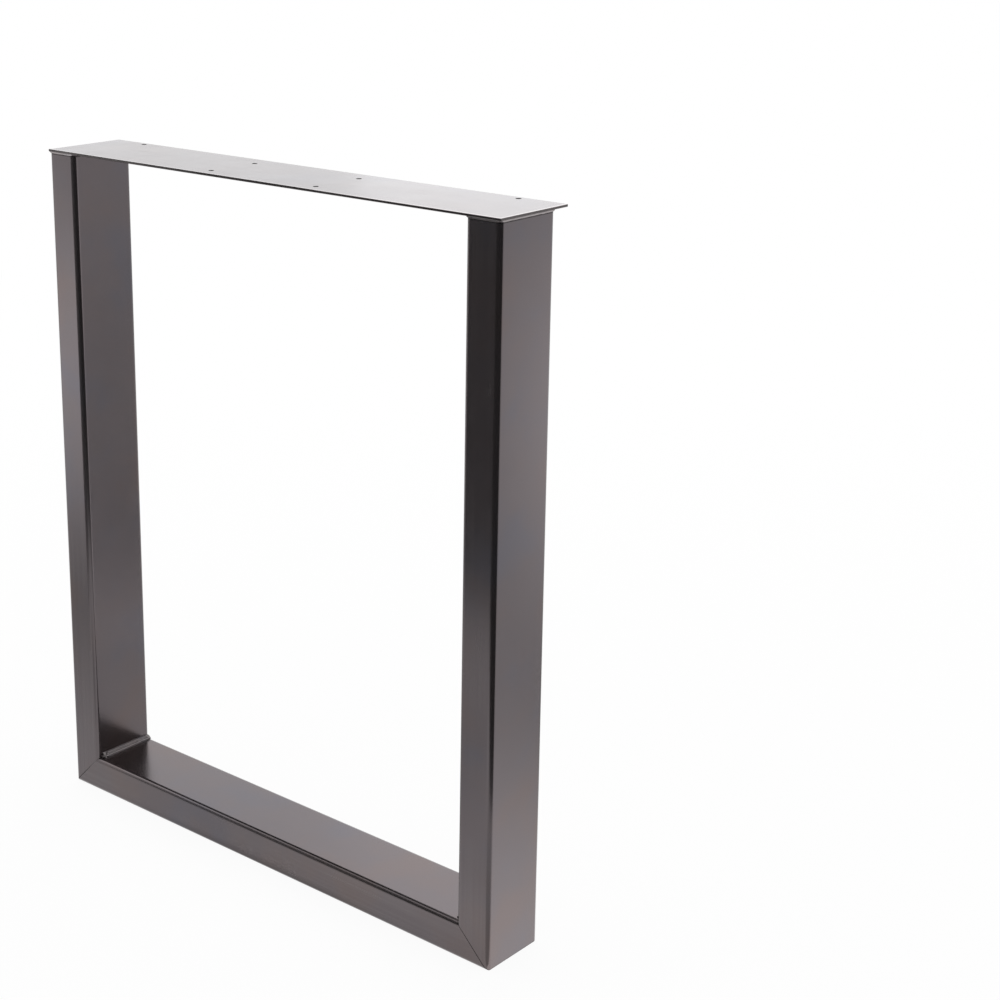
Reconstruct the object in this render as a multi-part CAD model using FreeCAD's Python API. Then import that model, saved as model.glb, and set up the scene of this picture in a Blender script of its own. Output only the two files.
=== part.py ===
import FreeCAD, Part
import math
import os

from FreeCAD import Vector

# U shaped table leg, welded from rectangular steel tube. All sizes are in millimetres.
# X runs along the width of the leg, Y from its front to its back and Z upwards.
# The origin is on the floor, below the middle of the tube frame.

# Overall size
leg_height = 711.0
leg_width = 590.0

# Rectangular tube of the frame, with its narrow side to the front
tube_face = 38.1
tube_depth = 76.2
tube_wall = 2.0
tube_corner_radius = 5.0

# Flat plate that is screwed to the underside of the table top
plate_thickness = 2.5
plate_depth = 94.0
plate_reveal = 0.5
plate_edge_break = 0.3

# Screw holes: four in a rectangle at mid span, and one near each end, behind the tubes
hole_diameter = 5.5
middle_hole_spacing_x = 138.0
middle_hole_spacing_y = 58.5
middle_hole_front_margin = 14.5
end_hole_end_margin = 49.0
end_hole_back_margin = 7.0

# Fillet weld across each bottom inner corner
corner_weld_leg = 5.0
corner_weld_crown = 0.8
corner_weld_end_radius = 4.0
corner_weld_front_gap = 1.0
corner_weld_back_gap = 1.0

# Fillet weld round the top of each upright, ground flush with the edges of the plate
plate_weld_leg = 1.6
plate_weld_crown = 0.25
plate_weld_bevel = 0.9

# Mitre seam of each bottom corner: a narrow groove, filled to just below the surface
seam_width = 0.8
seam_depth = 1.0
seam_recess = 0.25

# Places that several pieces share
upright_top = leg_height - plate_thickness
outer_face_x = -leg_width / 2
inner_face_x = outer_face_x + tube_face
upright_centre_x = outer_face_x + tube_face / 2
flat_half_depth = tube_depth / 2 - tube_corner_radius
corner_weld_front_y = -flat_half_depth + corner_weld_front_gap
corner_weld_back_y = tube_depth / 2 - corner_weld_back_gap
plate_end_x = outer_face_x - plate_reveal
plate_front_y = -tube_depth / 2 - plate_reveal
plate_back_y = plate_front_y + plate_depth


def mirrored(shape):
    """The same shape on the other side of the leg."""
    return shape.mirror(Vector(0, 0, 0), Vector(1, 0, 0))


def line(start, end):
    """Straight edge between two points."""
    return Part.LineSegment(start, end).toShape()


def quarter_arc(centre, radius, start_angle):
    """Quarter circle in the XY plane, running anticlockwise from its start angle in degrees."""
    points = []
    for angle in (start_angle, start_angle + 45, start_angle + 90):
        turn = math.radians(angle)
        points.append(centre + Vector(radius * math.cos(turn), radius * math.sin(turn), 0))
    return Part.Arc(*points).toShape()


def rounded_rectangle(size_x, size_y, radius):
    """Closed outline round the origin in the XY plane, with true arcs at its corners."""
    flat_x = size_x / 2 - radius
    flat_y = size_y / 2 - radius
    arcs = [
        quarter_arc(Vector(flat_x, flat_y, 0), radius, 0),
        quarter_arc(Vector(-flat_x, flat_y, 0), radius, 90),
        quarter_arc(Vector(-flat_x, -flat_y, 0), radius, 180),
        quarter_arc(Vector(flat_x, -flat_y, 0), radius, 270),
    ]
    edges = []
    for arc, next_arc in zip(arcs, arcs[1:] + arcs[:1]):
        edges.append(arc)
        edges.append(line(arc.Vertexes[-1].Point, next_arc.Vertexes[0].Point))
    return Part.Wire(edges)


def prism(points, height):
    """Solid over a closed polygon, extruded along Y."""
    outline = Part.makePolygon(points + points[:1])
    return Part.Face(outline).extrude(Vector(0, height, 0))


def tube_filling(length, inset):
    """Bar along Z that fills the tube's section, with its surface moved inwards by the inset."""
    outline = rounded_rectangle(
        tube_face - 2 * inset, tube_depth - 2 * inset, tube_corner_radius - inset
    )
    return Part.Face(outline).extrude(Vector(0, 0, length))


def left_upright_bar(inset=0.0):
    """Bar in the left upright's place, cut off along the mitre at its foot."""
    upright = tube_filling(upright_top - inset, inset)
    upright.translate(Vector(upright_centre_x, 0, inset))
    below_mitre = prism([
        Vector(outer_face_x, -tube_depth, 0),
        Vector(inner_face_x, -tube_depth, 0),
        Vector(inner_face_x, -tube_depth, tube_face),
    ], 2 * tube_depth)
    return upright.cut(below_mitre)


def rail_bar(inset=0.0):
    """Bar in the bottom rail's place, cut off along the mitre at both ends."""
    rail = tube_filling(leg_width - 2 * inset, inset)
    rail.rotate(Vector(0, 0, 0), Vector(0, 1, 0), 90)
    rail.translate(Vector(outer_face_x + inset, 0, tube_face / 2))
    above_mitre = prism([
        Vector(outer_face_x, -tube_depth, 0),
        Vector(outer_face_x, -tube_depth, tube_face),
        Vector(inner_face_x, -tube_depth, tube_face),
    ], 2 * tube_depth)
    return rail.cut([above_mitre, mirrored(above_mitre)])


def left_corner_bars(inset=0.0):
    """Left upright and rail as one solid, with its whole surface moved inwards by the inset."""
    return left_upright_bar(inset).fuse(rail_bar(inset))


def left_seam_groove():
    """Narrow groove round the left mitre, left out below the fillet weld of the inner corner."""
    slab = Part.makeBox(
        2 * tube_face,
        2 * tube_depth,
        seam_width,
        Vector(-tube_face / 4, -tube_depth, -seam_width / 2),
    )
    slab.rotate(Vector(0, 0, 0), Vector(0, 1, 0), -45)
    slab.translate(Vector(outer_face_x, 0, 0))
    under_corner_weld = Part.makeBox(
        tube_face,
        corner_weld_back_y - corner_weld_front_y,
        tube_face,
        Vector(inner_face_x - seam_depth, corner_weld_front_y, tube_face - seam_depth),
    )
    return slab.cut([left_corner_bars(seam_depth), under_corner_weld])


def left_mitre_weld():
    """Weld metal that fills the groove to just below the surface of the tubes."""
    return left_seam_groove().common(left_corner_bars(seam_recess))


def left_upright():
    """Hollow upright, mitred at its foot and bevelled round its top for the weld to the plate."""
    upright = left_upright_bar()
    top_edges = [edge for edge in upright.Edges if edge.BoundBox.ZMin > upright_top - plate_weld_bevel]
    upright = upright.makeChamfer(plate_weld_bevel, top_edges)
    cavity = tube_filling(leg_height, tube_wall)
    cavity.translate(Vector(upright_centre_x, 0, 0))
    return upright.cut([cavity, left_seam_groove()])


def bottom_rail():
    """Hollow rail between the uprights, mitred at both ends."""
    cavity = tube_filling(leg_width, tube_wall)
    cavity.rotate(Vector(0, 0, 0), Vector(0, 1, 0), 90)
    cavity.translate(Vector(outer_face_x, 0, tube_face / 2))
    groove = left_seam_groove()
    return rail_bar().cut([cavity, groove, mirrored(groove)])


def top_plate():
    """Flat plate across both uprights, longer to the back, with its six screw holes."""
    plate = Part.makeBox(
        -2 * plate_end_x, plate_depth, plate_thickness, Vector(plate_end_x, plate_front_y, upright_top)
    )
    plate = plate.makeChamfer(plate_edge_break, plate.Edges)
    front_row_y = plate_front_y + middle_hole_front_margin
    hole_places = []
    for side in (-1, 1):
        middle_x = side * middle_hole_spacing_x / 2
        hole_places.append(Vector(middle_x, front_row_y, 0))
        hole_places.append(Vector(middle_x, front_row_y + middle_hole_spacing_y, 0))
        end_x = side * (plate_end_x + end_hole_end_margin)
        hole_places.append(Vector(end_x, plate_back_y - end_hole_back_margin, 0))
    holes = [Part.makeCylinder(hole_diameter / 2, 2 * leg_height, place) for place in hole_places]
    return plate.cut(holes)


def bead_circle(leg, crown):
    """Radius of a fillet bead's round face, and its centre's distance behind each leg's plane."""
    radius = (leg**2 / 2 + crown**2) / (2 * crown)
    behind_corner = radius - crown - leg / math.sqrt(2)
    return radius, behind_corner / math.sqrt(2)


def left_corner_weld():
    """Convex bead with rounded ends, seated in the corner and on the round behind it."""
    radius, behind = bead_circle(corner_weld_leg, corner_weld_crown)
    end_radius = corner_weld_end_radius
    flat_end = radius - end_radius
    front_y = corner_weld_front_y
    back_y = corner_weld_back_y
    outline = Part.Wire([
        line(Vector(0, front_y, 0), Vector(flat_end, front_y, 0)),
        quarter_arc(Vector(flat_end, front_y + end_radius, 0), end_radius, -90),
        line(Vector(radius, front_y + end_radius, 0), Vector(radius, back_y - end_radius, 0)),
        quarter_arc(Vector(flat_end, back_y - end_radius, 0), end_radius, 0),
        line(Vector(flat_end, back_y, 0), Vector(0, back_y, 0)),
        line(Vector(0, back_y, 0), Vector(0, front_y, 0)),
    ])
    bead = Part.Face(outline).revolve(Vector(0, 0, 0), Vector(0, 1, 0), 360)
    bead.translate(Vector(inner_face_x - behind, 0, tube_face - behind))
    return bead.cut(left_corner_bars())


def left_plate_weld():
    """Fillet bead round the upright under the plate, ground flush with the plate's edges."""
    radius, behind = bead_circle(plate_weld_leg, plate_weld_crown)
    crown_reach = radius / math.sqrt(2) - behind
    toe = Vector(inner_face_x, -flat_half_depth, upright_top)
    on_plate = toe + Vector(plate_weld_leg, 0, 0)
    on_crown = toe + Vector(crown_reach, 0, -crown_reach)
    on_tube = toe + Vector(0, 0, -plate_weld_leg)
    bevel_foot = toe + Vector(0, 0, -plate_weld_bevel)
    bevel_top = toe + Vector(-plate_weld_bevel, 0, 0)
    section = Part.Wire([
        Part.Arc(on_plate, on_crown, on_tube).toShape(),
        line(on_tube, bevel_foot),
        line(bevel_foot, bevel_top),
        line(bevel_top, on_plate),
    ])
    path = rounded_rectangle(tube_face, tube_depth, tube_corner_radius)
    path.translate(Vector(upright_centre_x, 0, upright_top))
    bead = path.makePipeShell([section], True, False)
    ground_to = Part.makeBox(
        leg_width, plate_depth, plate_weld_leg,
        Vector(plate_end_x, plate_front_y, upright_top - plate_weld_leg),
    )
    return bead.common(ground_to)


left_pieces = {
    "upright": left_upright(),
    "mitre_weld": left_mitre_weld(),
    "corner_weld": left_corner_weld(),
    "plate_weld": left_plate_weld(),
}
pieces = {"bottom_rail": bottom_rail(), "top_plate": top_plate()}
for name, piece in left_pieces.items():
    pieces["left_" + name] = piece
    pieces["right_" + name] = mirrored(piece)

os.makedirs("parts", exist_ok=True)
for name, piece in pieces.items():
    piece.exportStep("parts/" + name + ".step")
    print(name, "solids", len(piece.Solids), "valid", piece.isValid(), "volume", round(piece.Volume, 1))
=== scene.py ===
# %% [markdown]
# # A welded steel table leg
#
# The object is one U shaped leg for a table or a bench. Two uprights and a bottom rail are cut
# from the same rectangular steel tube, mitred and welded at the bottom corners. A thin flat plate
# lies across the two uprights, and wood screws go up through its holes into the table top.
#
# The solids come from the CAD model, so this lesson never reshapes them. It gives each one its
# finish, lays real weld beads over the plain ones, and sets up a camera to photograph the result.
# First the CAD model is loaded, and its box is kept, to print beside the box of the finished leg
# at the end.

# %% Load the CAD model
import math

import bpy
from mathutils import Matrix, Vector


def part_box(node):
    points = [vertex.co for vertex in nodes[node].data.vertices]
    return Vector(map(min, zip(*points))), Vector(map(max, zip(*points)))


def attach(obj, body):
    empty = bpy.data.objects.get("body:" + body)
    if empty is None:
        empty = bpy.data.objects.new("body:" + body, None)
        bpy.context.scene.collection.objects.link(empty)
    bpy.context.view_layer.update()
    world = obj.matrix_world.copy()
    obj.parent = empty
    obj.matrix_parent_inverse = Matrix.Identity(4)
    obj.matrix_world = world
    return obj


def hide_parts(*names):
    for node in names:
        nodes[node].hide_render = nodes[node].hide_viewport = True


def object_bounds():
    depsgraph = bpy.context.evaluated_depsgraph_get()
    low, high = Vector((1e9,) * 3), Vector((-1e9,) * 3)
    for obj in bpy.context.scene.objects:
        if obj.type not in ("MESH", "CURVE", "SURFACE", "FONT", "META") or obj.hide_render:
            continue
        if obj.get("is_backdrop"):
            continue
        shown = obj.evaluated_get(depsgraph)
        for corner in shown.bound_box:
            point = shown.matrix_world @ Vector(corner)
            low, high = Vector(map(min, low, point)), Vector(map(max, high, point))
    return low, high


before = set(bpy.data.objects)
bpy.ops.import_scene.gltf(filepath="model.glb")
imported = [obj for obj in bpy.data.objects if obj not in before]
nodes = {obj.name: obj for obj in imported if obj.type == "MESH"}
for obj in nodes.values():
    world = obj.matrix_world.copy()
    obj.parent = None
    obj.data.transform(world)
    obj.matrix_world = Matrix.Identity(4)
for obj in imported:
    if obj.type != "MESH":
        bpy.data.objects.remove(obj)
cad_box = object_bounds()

for name in sorted(nodes):
    low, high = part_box(name)
    print(name, "size in mm", [round(1000 * side, 1) for side in high - low])


# %% [markdown]
# ## The camera
#
# The photograph looks down at the leg from the front right, from about two metres away, so the
# lens is fairly long. The leg stands left of the middle of the picture. A small sideways shift of
# the lens puts it there, and a small downward shift keeps the uprights nearly upright, as a
# product photographer does with a shift lens. Turning the camera instead would lean them more.

# %% Set up the camera
SENSOR_MM = 36.0
CAMERA_PLACE = Vector((1.3035, -1.3226, 1.0088))
CAMERA_TURN = math.radians(41.97)
CAMERA_TILT = math.radians(15.61)
LENS_MM = 71.14
SHIFT_X = 0.130
SHIFT_Y = -0.100

camera_data = bpy.data.cameras.new("photo_camera")
camera_data.sensor_width = SENSOR_MM
camera_data.lens = LENS_MM
camera_data.shift_x = SHIFT_X
camera_data.shift_y = SHIFT_Y
camera_data.clip_start = 0.05
camera_data.clip_end = 100.0
camera = bpy.data.objects.new("photo_camera", camera_data)
camera.location = CAMERA_PLACE
camera.rotation_euler = (math.pi / 2 - CAMERA_TILT, 0.0, CAMERA_TURN)
bpy.context.collection.objects.link(camera)
bpy.context.scene.camera = camera
print("camera is", round(CAMERA_PLACE.length, 2), "m from the foot of the leg")


# %% [markdown]
# ## Helpers for node trees
#
# Every finish here is procedural, which means that it is worked out by connected nodes and needs
# no picture. A few small helpers keep the trees readable. They add a node and fill its inputs with
# numbers or links, do one step of arithmetic, make noise, turn a range of values into a soft mask,
# mix colours, and start and end a group with its named inputs and outputs.

# %% Node helpers
FLOAT = "NodeSocketFloat"
VECTOR = "NodeSocketVector"
COLOR = "NodeSocketColor"


def add_node(tree, kind, inputs=None, **settings):
    """Adds a node, sets its properties, and fills or links its inputs."""
    node = tree.nodes.new(kind)
    for name, value in settings.items():
        setattr(node, name, value)
    for key, value in (inputs or {}).items():
        if isinstance(value, bpy.types.NodeSocket):
            tree.links.new(value, node.inputs[key])
        else:
            node.inputs[key].default_value = value
    return node


def calculate(tree, operation, *values):
    """One arithmetic step. Gives its result as a socket."""
    return add_node(tree, "ShaderNodeMath", dict(enumerate(values)), operation=operation).outputs[0]


def calculate_vector(tree, operation, *values):
    """One step of vector arithmetic. Gives its result as a socket."""
    node = add_node(tree, "ShaderNodeVectorMath", dict(enumerate(values)), operation=operation)
    return node.outputs["Value" if operation in ("DOT_PRODUCT", "LENGTH") else "Vector"]


def scaled(tree, vector, factor):
    """A vector or a colour times a number."""
    return add_node(tree, "ShaderNodeVectorMath", {0: vector, "Scale": factor}, operation="SCALE").outputs[0]


def coordinate(tree, vector, axis):
    """One coordinate of a vector."""
    return add_node(tree, "ShaderNodeSeparateXYZ", {"Vector": vector}).outputs[axis]


def noise(tree, place, scale, detail, roughness=0.5):
    """Soft noise from 0 to 1. More detail adds finer waves, and roughness makes them stronger."""
    return add_node(tree, "ShaderNodeTexNoise", {
        "Vector": place, "Scale": scale, "Detail": detail, "Roughness": roughness,
    }).outputs["Fac"]


def smooth_step(tree, value, low, high):
    """Eases from 0 at the low value to 1 at the high one."""
    node = add_node(tree, "ShaderNodeMapRange", {"Value": value, "From Min": low, "From Max": high})
    node.interpolation_type = "SMOOTHSTEP"
    return node.outputs["Result"]


def blend_color(tree, amount, under, over):
    """Mixes two colours by a mask."""
    mix = add_node(tree, "ShaderNodeMix", {0: amount, 6: under, 7: over}, data_type="RGBA")
    return mix.outputs[2]


def start_group(name, kind, inputs, outputs):
    """Starts a node group with named inputs and outputs. Gives the tree, its inputs and its end."""
    tree = bpy.data.node_groups.new(name, kind)
    for label, socket_type, value in inputs:
        socket = tree.interface.new_socket(name=label, in_out="INPUT", socket_type=socket_type)
        if value is not None:
            socket.default_value = value
    for label, socket_type in outputs:
        tree.interface.new_socket(name=label, in_out="OUTPUT", socket_type=socket_type)
    start = tree.nodes.new("NodeGroupInput")
    end = tree.nodes.new("NodeGroupOutput")
    return tree, start.outputs, end


def end_group(tree, end, results):
    """Links the results to the outputs of the group, which is then ready for use."""
    for label, result in results.items():
        tree.links.new(result, end.inputs[label])
    print(tree.name, "has", len(tree.nodes), "nodes")
    return tree


print("node helpers are ready")


# %% [markdown]
# ## Shared paint effects
#
# The leg has one dark satin paint on all its pieces, but it lies on four kinds of steel: drawn
# tube, rolled strip, weld bead and ground seam. What they share goes into shader groups, which
# are built once and given other values in each material.
#
# The first group is the mottle of a sprayed coat. Its tone drifts a little over a hand's width,
# and its hue leans now to brown and now to violet, as thin dark paint does under white light.

# %% Group: mottle of the sprayed coat
NOISE_MIDDLE = 0.5
HUE_REACH = 0.22
TONE_PATCHES_PER_HUE_PATCH = 2.7
MOTTLE_INPUTS = [
    ("Vector", VECTOR, None),
    ("Paint Color", COLOR, (0.1, 0.1, 0.1, 1.0)),
    ("Warm Color", COLOR, (0.1, 0.1, 0.1, 1.0)),
    ("Cool Color", COLOR, (0.1, 0.1, 0.1, 1.0)),
    ("Patch Scale", FLOAT, 14.0),
    ("Tone Amount", FLOAT, 0.1),
]
tree, start, end = start_group(
    "Sprayed coat mottle", "ShaderNodeTree", MOTTLE_INPUTS, [("Color", COLOR), ("Mask", FLOAT)]
)
hue_noise = noise(tree, start["Vector"], start["Patch Scale"], 3.0, 0.55)
tone_scale = calculate(tree, "MULTIPLY", start["Patch Scale"], TONE_PATCHES_PER_HUE_PATCH)
tone_noise = noise(tree, start["Vector"], tone_scale, 5.0, 0.6)
warm_mask = smooth_step(tree, hue_noise, NOISE_MIDDLE, NOISE_MIDDLE + HUE_REACH)
cool_mask = smooth_step(tree, hue_noise, NOISE_MIDDLE, NOISE_MIDDLE - HUE_REACH)
warmed = blend_color(tree, warm_mask, start["Paint Color"], start["Warm Color"])
cooled = blend_color(tree, cool_mask, warmed, start["Cool Color"])
tone = calculate(tree, "SUBTRACT", tone_noise, NOISE_MIDDLE)
tone = calculate(tree, "MULTIPLY", tone, start["Tone Amount"])
brightness = calculate(tree, "ADD", tone, 1.0)
toned = scaled(tree, cooled, brightness)
mottle_group = end_group(tree, end, {"Color": toned, "Mask": tone_noise})


# %% [markdown]
# A tube is pulled through a die and a strip is rolled, and both leave fine lines along their
# length. The paint softens the lines but does not hide them. Noise that is squeezed across the
# line and stretched along it gives such streaks. Two widths are mixed, because the lines of a die
# are broad and the lines of a brush or belt are fine. They show on the narrow sides of the tube,
# so the group also takes the direction of the faces that have them.

# %% Group: lines along the steel
LINE_PATCH_SCALE = 9.0
FINE_LINE_SHARE = 0.45
LINE_INPUTS = [
    ("Vector", VECTOR, None),
    ("Stretch", VECTOR, (1.0, 1.0, 1.0)),
    ("Broad Scale", FLOAT, 300.0),
    ("Fine Scale", FLOAT, 1400.0),
    ("Face", VECTOR, (1.0, 1.0, 1.0)),
]
tree, start, end = start_group(
    "Lines along the steel", "ShaderNodeTree", LINE_INPUTS, [("Height", FLOAT), ("Mask", FLOAT)]
)
stretched = calculate_vector(tree, "MULTIPLY", start["Vector"], start["Stretch"])
broad_lines = noise(tree, stretched, start["Broad Scale"], 2.0)
fine_lines = noise(tree, stretched, start["Fine Scale"], 3.0, 0.6)
patchy = smooth_step(tree, noise(tree, start["Vector"], LINE_PATCH_SCALE, 2.0), 0.32, 0.62)
facing = add_node(tree, "ShaderNodeNewGeometry").outputs["True Normal"]
facing = calculate_vector(tree, "ABSOLUTE", facing)
on_face = calculate_vector(tree, "DOT_PRODUCT", facing, start["Face"])
on_face = smooth_step(tree, on_face, 0.75, 0.98)
lines = calculate(tree, "MULTIPLY", fine_lines, FINE_LINE_SHARE)
lines = calculate(tree, "ADD", lines, broad_lines)
line_height = calculate(tree, "MULTIPLY", lines, on_face)
line_mask = smooth_step(tree, lines, 0.55, 0.95)
line_mask = calculate(tree, "MULTIPLY", line_mask, patchy)
line_mask = calculate(tree, "MULTIPLY", line_mask, on_face)
lines_group = end_group(tree, end, {"Height": line_height, "Mask": line_mask})


# %% [markdown]
# Sprayed paint dries with a very fine orange peel, and a few dust nibs stay in it. Both are too
# small to model, so they are heights for a Bump node. The peel is a soft noise of about a
# millimetre, and the nibs are the rare small cells of a Voronoi pattern.

# %% Group: skin of the paint
NIB_SCALE = 110.0
NIB_RADIUS = 0.055
NIB_CORE = 0.02
CELLS_WITHOUT_NIB = 0.86
SKIN_INPUTS = [("Vector", VECTOR, None), ("Peel Scale", FLOAT, 900.0), ("Nib Amount", FLOAT, 0.4)]
tree, start, end = start_group("Skin of the paint", "ShaderNodeTree", SKIN_INPUTS, [("Height", FLOAT)])
peel = noise(tree, start["Vector"], start["Peel Scale"], 2.0, 0.45)
nib_cells = add_node(tree, "ShaderNodeTexVoronoi", {"Vector": start["Vector"], "Scale": NIB_SCALE})
nib_spots = smooth_step(tree, nib_cells.outputs["Distance"], NIB_RADIUS, NIB_CORE)
nib_pick = add_node(tree, "ShaderNodeSeparateColor", {"Color": nib_cells.outputs["Color"]})
nib_rare = calculate(tree, "GREATER_THAN", nib_pick.outputs["Red"], CELLS_WITHOUT_NIB)
nibs = calculate(tree, "MULTIPLY", nib_spots, nib_rare)
raised = calculate(tree, "MULTIPLY", nibs, start["Nib Amount"])
skin_group = end_group(tree, end, {"Height": calculate(tree, "ADD", peel, raised)})


# %% [markdown]
# Handling leaves short hairline scratches, and dust settles on what faces up. Both are slight on
# a new leg. The scratches are the crests of two stretched noises that cross at an angle. The dust
# follows the upward part of the surface's normal, broken up by noise.

# %% Group: handling marks and dust
SCRATCH_TURNS = (24.0, -57.0)
SCRATCH_STRETCH = (26.0, 26.0, 0.9)
MARK_INPUTS = [("Vector", VECTOR, None), ("Scratch Scale", FLOAT, 60.0), ("Dust Scale", FLOAT, 35.0)]
tree, start, end = start_group(
    "Handling marks", "ShaderNodeTree", MARK_INPUTS, [("Scratches", FLOAT), ("Dust", FLOAT)]
)
scratch_masks = []
for turn_degrees in SCRATCH_TURNS:
    turned = add_node(tree, "ShaderNodeMapping", {
        "Vector": start["Vector"],
        "Rotation": [math.radians(turn_degrees)] * 3,
        "Scale": SCRATCH_STRETCH,
    })
    hair = noise(tree, turned.outputs[0], start["Scratch Scale"], 1.0)
    scratch_masks.append(smooth_step(tree, hair, 0.74, 0.80))
scratches = calculate(tree, "MAXIMUM", *scratch_masks)
upward = coordinate(tree, add_node(tree, "ShaderNodeNewGeometry").outputs["Normal"], "Z")
dust_noise = noise(tree, start["Vector"], start["Dust Scale"], 6.0, 0.7)
dust_patches = smooth_step(tree, dust_noise, 0.42, 0.75)
dust_up = smooth_step(tree, upward, 0.5, 1.0)
dust = calculate(tree, "MULTIPLY", dust_patches, dust_up)
marks_group = end_group(tree, end, {"Scratches": scratches, "Dust": dust})


# %% [markdown]
# Paint is thinner where it runs off an edge, and hands and rags polish it there first. A tube has
# four long rounds, and the group finds them from the distance to the flat parts of its section. It
# takes the place on the section, with the tube's own middle at zero.

# %% Group: polished rounds
ROUND_INPUTS = [("Across", FLOAT, 0.0), ("Through", FLOAT, 0.0), ("Half Flat Across", FLOAT, 0.01),
                ("Half Flat Through", FLOAT, 0.01), ("Reach", FLOAT, 0.002)]
tree, start, end = start_group("Rounds of the tube", "ShaderNodeTree", ROUND_INPUTS, [("Mask", FLOAT)])
past_flat = []
for direction in ("Across", "Through"):
    from_middle = calculate(tree, "ABSOLUTE", start[direction])
    past_flat.append(calculate(tree, "SUBTRACT", from_middle, start["Half Flat " + direction]))
past_both = calculate(tree, "MINIMUM", *past_flat)
round_mask = smooth_step(tree, past_both, 0.0, start["Reach"])
rounds_group = end_group(tree, end, {"Mask": round_mask})


# %% [markdown]
# ## The paint itself
#
# In the photograph the paint is dark, slightly warm, and mirrors its surroundings softly, more
# strongly at a glancing angle, where the plate's top turns nearly white. A metal flake paint does
# that, so the shader is mostly metallic, with a dark base colour and a low roughness. What varies
# over the surface goes through nodes to the colour, the roughness and the bump. What is the same
# everywhere is written on the shader itself.

# %% A function that starts a painted material
PAINT = (0.126, 0.110, 0.115, 1.0)
PAINT_WARM = (0.134, 0.110, 0.109, 1.0)
PAINT_COOL = (0.117, 0.109, 0.122, 1.0)
DUST_COLOR = (0.20, 0.19, 0.18, 1.0)
BARE_COLOR = (0.19, 0.175, 0.175, 1.0)
# Colour of painted highlights and of the ground places of the beads.
BRIGHT_COLOR = (0.55, 0.51, 0.51, 1.0)
# Colour of painted shade.
DARK_COLOR = (0.024, 0.021, 0.021, 1.0)
ROUND_TINT = 0.12
LINE_DEPTH = 0.00002
PEEL_DEPTH = 0.00003
ROUGHER = {"mottle": 0.06, "dust": 0.5, "round": -0.05, "polish_and_highlight": -0.12, "dark": 0.15}


def use_group(tree, group, inputs):
    """Places a shared group in a tree with its own values."""
    return add_node(tree, "ShaderNodeGroup", inputs, node_tree=group).outputs


def start_material(name):
    """Starts a material with an empty tree. Gives the material, its tree and its surface."""
    material = bpy.data.materials.new(name)
    material.use_nodes = True
    tree = material.node_tree
    tree.nodes.clear()
    output = tree.nodes.new("ShaderNodeOutputMaterial")
    return material, tree, output.inputs["Surface"]


def painted_steel(name, stretch, look, round_inputs=None, dark_places=None, highlight_and_ground_places=None):
    """Dark satin paint over steel whose lines run one way. The look holds the values that differ."""
    material, tree, surface = start_material(name)
    shader = add_node(tree, "ShaderNodeBsdfPrincipled", {"Metallic": look["metallic"], "IOR": 1.5})
    tree.links.new(shader.outputs[0], surface)
    place = add_node(tree, "ShaderNodeTexCoord").outputs["Object"]
    mottle = use_group(tree, mottle_group, {
        "Vector": place, "Paint Color": PAINT, "Warm Color": PAINT_WARM, "Cool Color": PAINT_COOL,
        "Patch Scale": look["patch_scale"], "Tone Amount": look["tone_amount"],
    })
    lines = use_group(tree, lines_group, {
        "Vector": place, "Stretch": stretch, "Broad Scale": look["broad_scale"],
        "Fine Scale": look["fine_scale"], "Face": look["line_face"],
    })
    skin = use_group(tree, skin_group, {"Vector": place, "Peel Scale": look["peel_scale"]})
    marks = use_group(tree, marks_group, {"Vector": place})
    line_tint = calculate(tree, "MULTIPLY", lines["Mask"], look["line_tint"])
    color = blend_color(tree, line_tint, mottle["Color"], BARE_COLOR)
    dust = calculate(tree, "MULTIPLY", marks["Dust"], look["dust"])
    color = blend_color(tree, dust, color, DUST_COLOR)
    scratch = calculate(tree, "MULTIPLY", marks["Scratches"], look["scratch"])
    color = blend_color(tree, scratch, color, BARE_COLOR)
    roughness = look["roughness"] - ROUGHER["mottle"] / 2
    changes = [(mottle["Mask"], ROUGHER["mottle"]), (lines["Mask"], look["line_roughness"])]
    changes.append((dust, ROUGHER["dust"]))
    if round_inputs:
        rounds = use_group(tree, rounds_group, round_inputs(tree, place))
        polish_and_highlight = calculate(tree, "MULTIPLY", rounds["Mask"], mottle["Mask"])
        color = blend_color(tree, calculate(tree, "MULTIPLY", polish_and_highlight, ROUND_TINT), color, BARE_COLOR)
        changes.append((polish_and_highlight, ROUGHER["round"]))
    # Painted highlights: the given places are lightened towards a bright colour and made smoother.
    if highlight_and_ground_places:
        polish_and_highlight = highlight_and_ground_places(tree, place, mottle["Mask"])
        color = blend_color(tree, polish_and_highlight, color, BRIGHT_COLOR)
        changes.append((polish_and_highlight, ROUGHER["polish_and_highlight"]))
    # Painted shade: the given places are darkened towards a near black colour and made rougher.
    if dark_places:
        dark = dark_places(tree, place, mottle["Mask"])
        color = blend_color(tree, dark, color, DARK_COLOR)
        changes.append((dark, ROUGHER["dark"]))
    for mask, change in changes:
        roughness = calculate(tree, "MULTIPLY_ADD", mask, change, roughness)
    line_bump = add_node(tree, "ShaderNodeBump", {
        "Strength": look["line_bump"], "Distance": LINE_DEPTH, "Height": lines["Height"],
    })
    skin_bump = add_node(tree, "ShaderNodeBump", {
        "Strength": look["skin_bump"], "Distance": PEEL_DEPTH, "Height": skin["Height"],
        "Normal": line_bump.outputs[0],
    })
    results = {"Base Color": color, "Roughness": roughness, "Normal": skin_bump.outputs[0]}
    for label, result in results.items():
        tree.links.new(result, shader.inputs[label])
    print("material", name, "has", len(tree.nodes), "nodes")
    return material
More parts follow.
